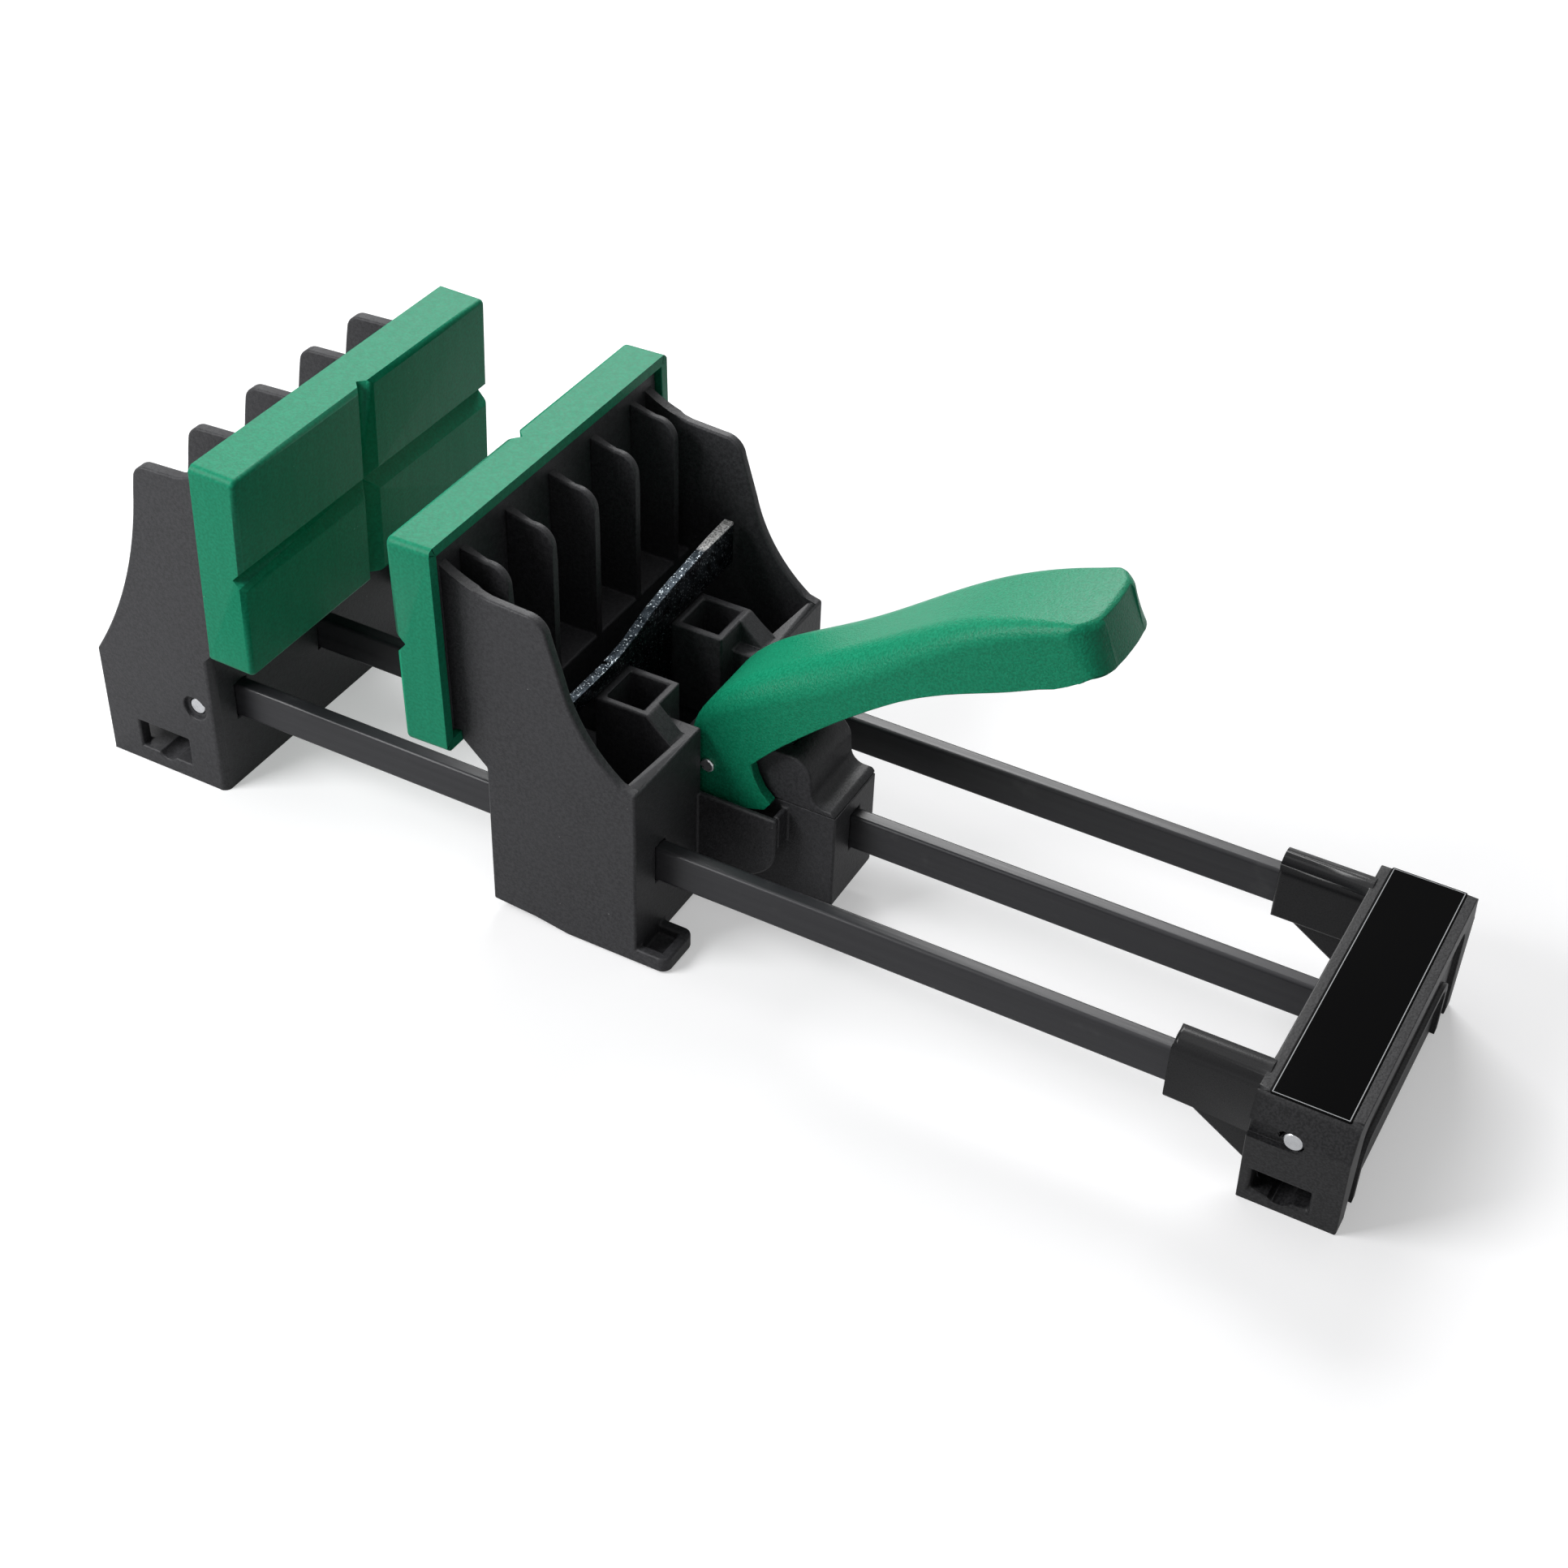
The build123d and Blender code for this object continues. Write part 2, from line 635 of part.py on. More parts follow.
with BuildPart() as carriage:
    half = carriage_width / 2
    inner = half - carriage_wall
    rear_wall_front = along(carriage_length - carriage_rear_wall)
    boss_rear = along(boss_rear_distance)
    spine_outer = spine_inner + spine_thickness
    for low, high in both_sides(inner, half):
        extrude(carriage_wall_side(low), amount=low - high)
    for step in range(-2, 3):
        extrude(carriage_rib_side(step * carriage_rib_pitch - carriage_rib / 2), amount=-carriage_rib)
    jaw_plate(moving_seat, moving_plate_thickness)
    shelf_front, shelf_bottom = under_pad(moving_seat)[-1]
    shelf_top = shelf_bottom + carriage_shelf_thickness
    block((along(0), along(carriage_front_wall)), (-inner, inner), (carriage_front_lift, shelf_top))
    block((shelf_front, along(carriage_front_wall)), (-inner, inner), (shelf_bottom, shelf_top))
    return_wall_outer = throat_half_width + return_wall
    for low, high in both_sides(return_wall_outer - 1, inner):
        block((rear_wall_front, along(carriage_length)), (low, high), (floor_clearance + 1, carriage_rear_top))
    for low, high in both_sides(throat_half_width, return_wall_outer):
        block((boss_rear, along(carriage_length)), (low, high), (floor_clearance + 1, carriage_rear_top))
    for low, high in both_sides(spine_inner, inner):
        block((along(0), boss_rear), (low, high), (web_height - web_thickness, web_height))
    for low, high in both_sides(throat_half_width, inner):
        block((boss_rear - 1, rear_wall_front), (low, high), (web_height - web_thickness, web_height))
    for low, high in both_sides(spine_inner, spine_outer):
        block((along(0), boss_rear), (low, high), (floor_clearance + 1, web_height))
    seat_bottom = release_plate_bottom - release_seat_gap - release_seat_wall
    block((release_pivot_x - release_seat_length / 2, release_pivot_x + release_seat_length / 2),
          (-spine_outer, spine_outer), (seat_bottom, release_pivot_z))
    cross_hole(release_pivot_x, release_pivot_z, release_plate_thickness / 2 + release_seat_gap,
               (-spine_inner, spine_inner))
    tunnel_half_width = bar_width / 2 + tunnel_side_wall
    for side in (-1, 1):
        y = side * bar_spacing
        block((along(0), along(carriage_length)), (y - tunnel_half_width, y + tunnel_half_width),
              (bar_bottom - tunnel_floor, web_height))
        y = side * boss_offset
        boss_x = along(boss_from_front)
        block((boss_x - boss_hole_length / 2 - boss_wall, boss_x + boss_hole_length / 2 + boss_wall),
              (y - boss_hole_width / 2 - boss_wall, y + boss_hole_width / 2 + boss_wall), (web_height - 1, boss_top))
        block((boss_x - boss_hole_length / 2, boss_x + boss_hole_length / 2),
              (y - boss_hole_width / 2, y + boss_hole_width / 2), (web_height + boss_hole_floor, boss_top + 1),
              mode=Mode.SUBTRACT)
        ledge = sorted((side * return_wall_outer, side * (boss_offset + boss_hole_width / 2 + boss_wall)))
        with BuildSketch(across(ledge[0])):
            with BuildLine():
                Polyline((boss_rear - 0.5, web_height - 1), (boss_rear - 0.5, boss_top), (boss_rear, boss_top),
                         (rear_wall_front + 0.5, carriage_rear_top), (rear_wall_front + 0.5, web_height - 1),
                         close=True)
            make_face()
        extrude(amount=ledge[0] - ledge[1])
        foot = sorted((side * half, side * (half - foot_width)))
        block((along(carriage_length) - 1, along(carriage_length + foot_length)), foot,
              (floor_clearance, floor_clearance + foot_height))
        pocket = sorted((side * (half - carriage_wall), side * (half - foot_width + carriage_wall)))
        block((along(carriage_length), along(carriage_length + foot_length - carriage_wall)), pocket,
              (floor_clearance + foot_floor, floor_clearance + foot_height + 1), mode=Mode.SUBTRACT)
        cheek = sorted((side * throat_half_width, side * (throat_half_width + cheek_thickness)))
        cheek_top = housing_top - cheek_drop
        with BuildSketch(across(cheek[0])):
            with BuildLine():
                Polyline((along(carriage_length) - 1, cheek_bottom), (along(carriage_length) - 1, cheek_top),
                         (along(cheek_end), cheek_top), (along(cheek_end), cheek_bottom + cheek_corner_radius))
                RadiusArc((along(cheek_end), cheek_bottom + cheek_corner_radius),
                          (along(cheek_end) - cheek_corner_radius, cheek_bottom), cheek_corner_radius)
                Line((along(cheek_end) - cheek_corner_radius, cheek_bottom),
                     (along(carriage_length) - 1, cheek_bottom))
            make_face()
        extrude(amount=-cheek_thickness)
    foot_end = along(carriage_length + foot_length)
    fillet(carriage.edges().filter_by(Axis.Z).filter_by(
        lambda e: abs(e.center().X - foot_end) < 0.01 and e.center().Z < foot_height), foot_corner_radius)
    bar_holes((along(-1), along(carriage_length + 1)), (-bar_spacing, bar_spacing))
    bar_holes((along(-1), along(carriage_front_wall + 1)), (0.0,), clearance=0.6)
carriage.part.label = "carriage"


# Drive housing: the block that holds the grip plates round the centre bar and carries the handle's pin
with BuildPart() as drive_housing:
    width = (-housing_half_width, housing_half_width)
    lug_top = pivot_height + lug_rise
    block((boss_rear, along(housing_end)), width, (housing_bottom, housing_top))
    block((boss_rear, pivot_x + lug_length), width, (housing_top - 1, lug_top))
    fillet(drive_housing.edges().filter_by(Axis.Y).filter_by(lambda e: e.center().Z > lug_top - 0.1), lug_radius)
    for low, high in both_sides(housing_half_width - 0.5, throat_half_width):
        block((along(cheek_end - cheek_thickness), along(cheek_end)), (low, high),
              (cheek_bottom + cheek_corner_radius, cheek_top))
    cavity_start = along(plate_start - 1)
    cavity_end = along(housing_end - housing_rear_wall)
    cavity_half = plate_half_width + plate_side_clearance
    block((cavity_start, cavity_end), (-cavity_half, cavity_half),
          (plate_bottom - plate_side_clearance, housing_top + 1), mode=Mode.SUBTRACT)
    bar_holes((boss_rear - 1, along(housing_end + 1)), (0.0,))
    cross_hole(pivot_x, pivot_height, pivot_radius + pin_clearance, (-pivot_length, pivot_length))
drive_housing.part.label = "drive_housing"

# Cover over the grip plates: a hump with a hollow inside and a slot for the handle's cam
with BuildPart() as housing_cover:
    hump_start = (along(cover_front + cover_front_chamfer), cover_crest)
    hump_end = (along(housing_end - hump_ledge), housing_top + hump_foot_rise)
    with BuildSketch(across(-housing_half_width)):
        with BuildLine():
            FilletPolyline(hump_start, (along(hump_rear), cover_crest), (along(hump_rear + hump_lean), hump_end[1]),
                           hump_end, radius=[hump_top_radius, hump_foot_radius])
            Polyline(hump_end, (along(housing_end), housing_top), (along(cover_front), housing_top),
                     (along(cover_front), cover_crest - cover_front_chamfer), hump_start)
        make_face()
    extrude(amount=-2 * housing_half_width)
    cover_inner = housing_half_width - cover_wall
    block((along(cover_front - 1), along(cover_hollow_end)), (-cover_inner, cover_inner),
          (housing_top - 1, cover_crest - cover_wall), mode=Mode.SUBTRACT)
    block((along(cover_front - 1), along(cover_slot_end)), (-cover_slot_half_width, cover_slot_half_width),
          (housing_top - 1, cover_crest + 1), mode=Mode.SUBTRACT)
housing_cover.part.label = "housing_cover"


# Grip plates: hardened steel plates with a slot that is a loose fit on the bar
def slotted_plate(start):
    """One grip plate, with its front face at the given place along the vise."""
    with BuildPart() as plate:
        block((start, start + plate_thickness), (-plate_half_width, plate_half_width), (plate_bottom, plate_top))
        fillet(plate.edges().filter_by(Axis.X), plate_corner_radius)
        bar_holes((start - 1, start + plate_thickness + 1), (0.0,), clearance=plate_slot_clearance)
    return plate.part


grip_plate_front = slotted_plate(along(plate_start))
grip_plate_front.label = "grip_plate_front"
grip_plate_rear = slotted_plate(along(plate_start + plate_thickness + plate_gap))
grip_plate_rear.label = "grip_plate_rear"


# Springs: open coils round the centre bar
def coil_spring(start, end, turns):
    """Compression spring along the centre bar, between two places along the vise."""
    length = end - start - spring_wire
    with BuildPart() as spring:
        with BuildLine() as path:
            Helix(pitch=length / turns, height=length, radius=spring_coil_radius,
                  center=(start + spring_wire / 2, 0, bar_centre_height), direction=(1, 0, 0))
        with BuildSketch(Plane(origin=path.line @ 0, z_dir=path.line % 0)):
            RegularPolygon(spring_wire / 2, spring_wire_sides)
        sweep(is_frenet=True)
    return spring.part


plates_end = along(plate_start + 2 * plate_thickness + plate_gap)
drive_spring = coil_spring(plates_end + spring_end_gap, cavity_end - spring_end_gap, drive_spring_turns)
drive_spring.label = "drive_spring"
release_spring = coil_spring(along(carriage_front_wall) + spring_end_gap, release_x - spring_end_gap,
                             release_spring_turns)
release_spring.label = "release_spring"

# Release plate: a zinc-plated tee whose stem grips the centre bar between the sockets
with BuildPart() as release_plate:
    with BuildSketch(facing_tail(release_x)):
        with BuildLine():
            wing = carriage_width / 2 - carriage_wall - release_wing_gap
            stem = boss_offset - boss_hole_width / 2 - boss_wall - release_stem_gap
            wing_bottom = boss_top + release_wing_lift
            top = release_plate_top
            low_top = top - release_plate_drop
            shoulder = (release_plate_shoulder - wing, low_top)
            Line(shoulder, (-wing / 2, low_top))
            Spline((-wing / 2, low_top), (0, top - release_plate_drop / 2), (wing / 2, top - release_plate_drop / 6),
                   (wing, top), tangents=[(1, 0), (1, 0)])
            Polyline((wing, top), (wing, wing_bottom), (stem, wing_bottom), (stem, release_plate_bottom),
                     (-stem, release_plate_bottom), (-stem, wing_bottom),
                     (release_plate_bulge - wing, wing_bottom))
            Spline((release_plate_bulge - wing, wing_bottom), shoulder, tangents=[(-0.6, 1), (1, 0)])
        make_face()
    extrude(amount=release_plate_thickness)
    foot_edges = release_plate.edges().filter_by(Axis.Y).group_by(Axis.Z)[0]
    fillet(foot_edges, release_plate_thickness / 2 - 0.001)
    bar_holes((release_x - 1, release_x + release_plate_thickness + 1), (0.0,), clearance=release_slot_clearance)
release_plate.part.label = "release_plate"


# Handle: an upturned channel with a round-cornered thumb end, a hook below the pin and a cam inside
def from_pivot(forward, rise):
    """Point of the handle's side view, measured from the pivot pin."""
    return (pivot_x + forward, pivot_height + rise)


def handle_section(forward, rise, corner, half_width):
    """Upright section across the handle, with its two top corners rounded."""
    height = rise + handle_foot
    with BuildSketch(facing_tail(pivot_x + forward)) as section:
        with Locations((0, pivot_height + rise - height / 2)):
            Rectangle(2 * half_width, height)
        fillet(section.vertices().group_by(Axis.Z)[-1], corner)
    return section.sketch


def handle_hollow(drop):
    """Side view of the space inside the handle, under a roof a given distance below the handle's top."""
    inside = [station for station in handle_stations if station[0] < handle_tip - handle_end_wall]
    roof = []
    for before, (forward, rise, corner), after in zip(inside[:1] + inside, inside, inside[1:] + inside[-1:]):
        slope = atan2(after[1] - before[1], after[0] - before[0])
        roof.append(from_pivot(forward + drop * sin(slope), rise - drop * cos(slope)))
    with BuildSketch(across(0)) as hollow:
        with BuildLine():
            Spline(roof)
            Polyline(roof[-1], from_pivot(handle_tip - handle_end_wall, handle_stations[-2][1] - drop),
                     from_pivot(handle_tip - handle_end_wall, -handle_foot), from_pivot(-handle_foot, -handle_foot),
                     (from_pivot(-handle_foot, 0)[0], roof[0][1]), roof[0])
        make_face()
    return hollow.sketch


def handle_outline(rise):
    """Plan of the handle at a height above the pin: straight sides and a bowed end with round corners."""
    end = pivot_x + handle_tip + (handle_tip_rise - rise) * sin(radians(handle_tip_draft))
    heel = pivot_x - handle_foot
    half_width = handle_half_width
    with BuildSketch(Plane.XY.offset(pivot_height + rise)) as outline:
        with BuildLine():
            Polyline((end - handle_tip_bow, half_width), (heel, half_width), (heel, -half_width),
                     (end - handle_tip_bow, -half_width))
            ThreePointArc((end - handle_tip_bow, -half_width), (end, 0), (end - handle_tip_bow, half_width))
        make_face()
        fillet(outline.vertices().group_by(Axis.X)[-1], handle_tip_corner)
    return outline.sketch


with BuildPart() as handle:
    loft([handle_section(*station, handle_half_width) for station in handle_stations])
    with BuildSketch(across(-handle_half_width)):
        with BuildLine():
            Spline([from_pivot(*p) for p in handle_under])
            Polyline([from_pivot(*p) for p in handle_hook])
            Polyline(from_pivot(*handle_hook[-1]), from_pivot(handle_stations[0][0], handle_stations[0][1]),
                     from_pivot(handle_stations[0][0], handle_crown), from_pivot(handle_under[0][0], handle_crown),
                     from_pivot(*handle_under[0]))
        make_face()
    extrude(amount=-2 * handle_half_width, mode=Mode.INTERSECT)
    loft([handle_outline(-handle_foot), handle_outline(handle_crown)], ruled=True, mode=Mode.INTERSECT)
    inner = handle_half_width - handle_wall
    extrude(handle_hollow(handle_skin + handle_corner_drop), amount=inner, both=True, mode=Mode.SUBTRACT)
    extrude(handle_hollow(handle_skin), amount=inner - handle_corner_width, both=True, mode=Mode.SUBTRACT)
    block((pivot_x - handle_foot, pivot_x), (-inner, inner),
          (pivot_height - handle_foot, pivot_height + handle_mouth_rise), mode=Mode.SUBTRACT)
    with BuildSketch(across(-cam_half_width)):
        with Locations(from_pivot(cam_forward, cam_rise)):
            Circle(cam_radius)
        with BuildLine():
            Polyline(from_pivot(cam_forward - cam_web / 2, cam_rise), from_pivot(cam_forward + cam_web / 2, cam_rise),
                     from_pivot(cam_forward + cam_web / 2, cam_root), from_pivot(cam_forward - cam_web / 2, cam_root),
                     close=True)
        make_face()
    extrude(amount=-2 * cam_half_width)
    cross_hole(pivot_x, pivot_height, pivot_radius + pin_clearance, (-handle_half_width - 1, handle_half_width + 1))
handle.part.label = "handle"

# Pivot pin with a snap ring on its far end
with BuildPart() as handle_pivot_pin:
    with BuildSketch(across(-pivot_length / 2)):
        with Locations((pivot_x, pivot_height)):
            Circle(pivot_radius)
    extrude(amount=-pivot_length)
    chamfer(handle_pivot_pin.edges().filter_by(GeomType.CIRCLE), pin_end_chamfer)
handle_pivot_pin.part.label = "handle_pivot_pin"

with BuildPart() as pivot_clip:
    with BuildSketch(across(handle_half_width + clip_gap)):
        with Locations((pivot_x, pivot_height)):
            Circle(clip_radius)
            Circle(pivot_radius, mode=Mode.SUBTRACT)
            with Locations((-clip_radius, 0)):
                Rectangle(2 * clip_radius, clip_mouth, mode=Mode.SUBTRACT)
    extrude(amount=-clip_thickness)
pivot_clip.part.label = "pivot_clip"

pieces = [
    fixed_jaw.part, fixed_jaw_pad, moving_jaw_pad, guide_bar_right, drive_bar, guide_bar_left, front_cross_pin,
    tail_cross_pin, tail_block.part, tail_plate.part, carriage.part, drive_housing.part, housing_cover.part,
    grip_plate_front, grip_plate_rear, drive_spring, release_spring, release_plate.part, handle.part,
    handle_pivot_pin.part, pivot_clip.part,
]
for piece in pieces:
    export_step(piece, f"parts/{piece.label}.step")
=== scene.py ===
"""Quick-release bench vise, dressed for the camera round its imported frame."""
from math import cos, pi, radians, sin, tan

import bmesh
import bpy
from mathutils import Matrix, Vector
from mathutils.bvhtree import BVHTree


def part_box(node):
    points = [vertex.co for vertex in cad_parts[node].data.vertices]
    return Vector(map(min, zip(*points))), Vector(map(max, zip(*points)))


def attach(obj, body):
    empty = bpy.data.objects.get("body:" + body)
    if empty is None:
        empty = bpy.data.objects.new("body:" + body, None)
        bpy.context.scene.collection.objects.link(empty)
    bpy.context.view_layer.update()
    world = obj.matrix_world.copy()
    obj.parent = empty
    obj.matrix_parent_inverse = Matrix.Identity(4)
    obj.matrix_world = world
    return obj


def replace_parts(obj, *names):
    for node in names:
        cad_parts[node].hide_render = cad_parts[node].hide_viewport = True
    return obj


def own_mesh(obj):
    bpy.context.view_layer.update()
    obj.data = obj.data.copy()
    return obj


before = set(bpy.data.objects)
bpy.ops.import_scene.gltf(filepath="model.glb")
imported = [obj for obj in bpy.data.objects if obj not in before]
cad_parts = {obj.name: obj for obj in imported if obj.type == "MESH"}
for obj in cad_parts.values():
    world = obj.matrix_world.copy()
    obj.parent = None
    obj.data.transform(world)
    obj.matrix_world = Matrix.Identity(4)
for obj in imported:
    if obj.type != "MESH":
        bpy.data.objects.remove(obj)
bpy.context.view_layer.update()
mm = 0.001


# The camera
# The vise is seen from in front of its near side and well above it, by a short telephoto.
# The camera leans a little to one side, so the picture's bottom edge isn't quite level.
eye = Vector((261.854, -488.995, 488.666)) * mm
aim = Vector((12.198, -5.523, 40.462)) * mm
lean = radians(2.2061)
ahead = (aim - eye).normalized()
level = ahead.cross(Vector((0, 0, 1))).normalized()
above = level.cross(ahead)
right = level * cos(lean) + above * sin(lean)
upward = above * cos(lean) - level * sin(lean)
camera_data = bpy.data.cameras.new("camera")
camera_data.sensor_width = 36
camera_data.lens = 57.256
camera_data.clip_start = 0.05
camera_data.clip_end = 20
camera = bpy.data.objects.new("camera", camera_data)
camera.matrix_world = Matrix.Translation(eye) @ Matrix((right, upward, -ahead)).transposed().to_4x4()
bpy.context.scene.collection.objects.link(camera)
bpy.context.scene.camera = camera
bpy.context.scene.view_settings.view_transform = "Standard"


# Fixed jaw
# A glass-filled nylon moulding: two side walls and three ribs tied by a front wall and a plate.
# The mould is spark-eroded, which leaves a fine dull grain, and the edges are slightly rounded.
class Flow:
    """A socket in a material's node tree, so that shader maths reads as a Python expression."""

    def __init__(self, tree, socket=None):
        self.tree = tree
        self.socket = socket

    def node(self, kind, inputs=(), out=0, **settings):
        """A node of any kind: its settings first, then its sockets' values or links."""
        made = self.tree.nodes.new("ShaderNode" + kind)
        for key, value in settings.items():
            setattr(made, key, value)
        for key, value in dict(inputs).items():
            if isinstance(value, Flow):
                self.tree.links.new(value.socket, made.inputs[key])
            else:
                made.inputs[key].default_value = value
        return Flow(self.tree, made.outputs[out])

    def maths(self, operation, *values):
        """One Math node on this socket and up to two more values."""
        return self.node("Math", enumerate((self, *values)), operation=operation)

    def __add__(self, other):
        return self.maths("ADD", other)

    def __sub__(self, other):
        return self.maths("SUBTRACT", other)

    def __mul__(self, other):
        return self.maths("MULTIPLY", other)

    def __rsub__(self, other):
        return self.node("Math", ((0, other), (1, self)), operation="SUBTRACT")

    __radd__ = __add__
    __rmul__ = __mul__

    def step(self, low, high):
        """0 below low and 1 above high, with a smooth rise between."""
        return self.node("MapRange", (("Value", self), ("From Min", low), ("From Max", high)),
                         interpolation_type="SMOOTHSTEP")

    def blend(self, low, high):
        """The colour low where this is 0, and the colour high where it is 1."""
        low = low if isinstance(low, Flow) else (*low, 1.0)
        high = high if isinstance(high, Flow) else (*high, 1.0)
        return self.node("Mix", ((0, self), (6, low), (7, high)), out=2, data_type="RGBA")

    def noise(self, scale, detail=2.0):
        """Cloudy noise read at this position."""
        return self.node("TexNoise", (("Vector", self), ("Scale", scale), ("Detail", detail)))

    def cells(self, scale):
        """Cell noise read at this position: the distance to the nearest cell's centre."""
        return self.node("TexVoronoi", (("Vector", self), ("Scale", scale)))

    def parts(self):
        """The position's x, y and z, each as a number."""
        split = self.node("SeparateXYZ", ((0, self),))
        return [Flow(self.tree, socket) for socket in split.socket.node.outputs]

    def stretch(self, x, y, z):
        """The position with each axis scaled by itself."""
        return self.node("VectorMath", ((0, self), (1, (x, y, z))), operation="MULTIPLY")


def finish(name, paint, metallic=0.0, specular=0.5):
    """A material: paint(place) returns its colour, its roughness and its bumps.

    Each bump is a height, a strength and a depth in metres.
    """
    made = bpy.data.materials.new(name)
    made.use_nodes = True
    tree = made.node_tree
    shader = tree.nodes["Principled BSDF"]
    shader.inputs["Metallic"].default_value = metallic
    shader.inputs["Specular IOR Level"].default_value = specular
    start = Flow(tree)
    colour, roughness, bumps = paint(start.node("TexCoord", out=3))
    tree.links.new(colour.socket, shader.inputs["Base Color"])
    tree.links.new(roughness.socket, shader.inputs["Roughness"])
    surface = None
    for height, strength, depth in bumps:
        sockets = [("Height", height), ("Strength", strength), ("Distance", depth)]
        if surface:
            sockets.append(("Normal", surface))
        surface = start.node("Bump", sockets)
    tree.links.new(surface.socket, shader.inputs["Normal"])
    return made


def grained_black(place):
    """Black nylon: a dull eroded grain, faint cloudiness and a few specks of dust."""
    grain = place.noise(2400, 3.0)
    coarse = place.noise(900, 2.0)
    cloud = place.noise(38, 3.0)
    dust = 1 - place.cells(240).step(0.03, 0.06)
    lonely = place.noise(120, 1.0).step(0.60, 0.64)
    fine = (grain * 0.5 + coarse * 0.5).step(0.34, 0.66)
    colour = fine.blend((0.024, 0.024, 0.026), (0.052, 0.052, 0.056))
    colour = (cloud.step(0.2, 0.8) * 0.35).blend(colour, (0.046, 0.046, 0.050))
    colour = (dust * lonely).blend(colour, (0.20, 0.20, 0.20))
    roughness = grain * 0.20 + coarse * 0.10 + 0.32
    return colour, roughness, [(grain, 0.45, 0.00016), (coarse, 0.20, 0.0004), (cloud, 0.04, 0.0006)]


same_place = 0.002 * mm
same_plane = radians(0.6)
sharp_edge = radians(28)
narrowest_face = 0.1 * mm
share_of_face = 0.4
shading_break = radians(40)
smallest_fold = 1.0 * mm * mm


def face_width(face, edge):
    """How wide a face is, measured square to one of its edges."""
    loop = next(corner for corner in face.loops if corner.edge == edge)
    start = loop.vert.co
    end = loop.link_loop_next.vert.co
    along = (end - start).normalized()
    inward = face.normal.cross(along)
    nearest = 1.0
    for share in (0.1, 0.5, 0.9):
        origin = start.lerp(end, share)
        for other in face.edges:
            if other == edge:
                continue
            first = other.verts[0].co - origin
            last = other.verts[1].co - origin
            first_along = first.dot(along)
            last_along = last.dot(along)
            if first_along * last_along >= 0:
                continue
            reach = first_along / (first_along - last_along)
            width = first.dot(inward) + reach * (last - first).dot(inward)
            if width > 0.001 * mm:
                nearest = min(nearest, width)
    return nearest


def spare_odd_corners(piece, surface, radius):
    """Leaves edges sharp at odd corners, where rounding them throws a point off or folds a face over."""
    for attempt in range(5):
        shown = piece.evaluated_get(bpy.context.evaluated_depsgraph_get()).to_mesh()
        strays = [(v.co.copy(), surface.find_nearest(v.co)[3]) for v in shown.vertices]
        strays = [(point, gap) for point, gap in strays if gap > 0.5 * radius]
        for face in shown.polygons:
            spot, normal, number, gap = surface.find_nearest(face.center)
            if face.area > smallest_fold and gap < 0.2 * mm and normal.dot(face.normal) < -0.5:
                strays += [(shown.vertices[v].co.copy(), 0.0) for v in face.vertices]
        if not strays:
            return
        weights = piece.data.attributes["bevel_weight_edge"].data
        corners = piece.data.vertices
        for edge in piece.data.edges:
            ends = [corners[v].co for v in edge.vertices]
            if any((end - point).length < 1.3 * gap + 1.5 * mm for end in ends for point, gap in strays):
                weights[edge.index].value = 0.0
        piece.data.update()


def place_mesh(name, form, body, material):
    """Turns a finished form into a piece that rides on a body."""
    mesh = bpy.data.meshes.new(name)
    form.to_mesh(mesh)
    form.free()
    for face in mesh.polygons:
        face.use_smooth = True
    mesh.set_sharp_from_angle(angle=shading_break)
    mesh.materials.append(material)
    piece = bpy.data.objects.new(name, mesh)
    bpy.context.scene.collection.objects.link(piece)
    weighted = piece.modifiers.new("weighted", "WEIGHTED_NORMAL")
    weighted.keep_sharp = True
    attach(piece, body)
    return piece


def eased(node, body, radius, material, reshape=None, crisp=None):
    """A copy of a CAD piece with its sharp edges rounded as a mould or a tumbler leaves them.

    An edge beside a narrow face gets a smaller radius, a share of that face's width. An edge for which
    crisp(its middle) is true stays sharp. reshape(form) changes the copy's form before the rounding.
    """
    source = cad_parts[node].data
    surface = BVHTree.FromPolygons([v.co for v in source.vertices], [f.vertices for f in source.polygons])
    form = bmesh.new()
    form.from_mesh(source)
    bmesh.ops.remove_doubles(form, verts=form.verts, dist=same_place)
    bmesh.ops.dissolve_limit(form, angle_limit=same_plane, verts=form.verts, edges=form.edges)
    rings = [f for f in form.faces if len(f.verts) > 20 and f.calc_perimeter() ** 2 > 60 * f.calc_area()]
    bmesh.ops.triangulate(form, faces=rings)
    if reshape:
        reshape(form)
        surface = BVHTree.FromBMesh(form)
    weight = form.edges.layers.float.new("bevel_weight_edge")
    for edge in form.edges:
        if len(edge.link_faces) != 2 or edge.calc_face_angle(0.0) <= sharp_edge:
            continue
        room = min(face_width(face, edge) for face in edge.link_faces)
        middle = (edge.verts[0].co + edge.verts[1].co) / 2
        if room > narrowest_face and not (crisp and crisp(middle)):
            edge[weight] = min(1.0, share_of_face * room / radius)
    rough = bpy.data.objects.new("rough", bpy.data.meshes.new("rough"))
    form.to_mesh(rough.data)
    form.free()
    bpy.context.scene.collection.objects.link(rough)
    rounded = rough.modifiers.new("rounded", "BEVEL")
    rounded.limit_method = "WEIGHT"
    rounded.width = radius
    rounded.segments = 3
    rounded.use_clamp_overlap = False
    rounded.loop_slide = False
    spare_odd_corners(rough, surface, radius)
    final = bmesh.new()
    final.from_object(rough, bpy.context.evaluated_depsgraph_get())
    for corner in final.verts:
        spot, normal, number, gap = surface.find_nearest(corner.co)
        if gap > 0.5 * radius:
            corner.co = spot
    bpy.data.objects.remove(rough)
    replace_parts(place_mesh(node + "_shown", final, body, material), node)


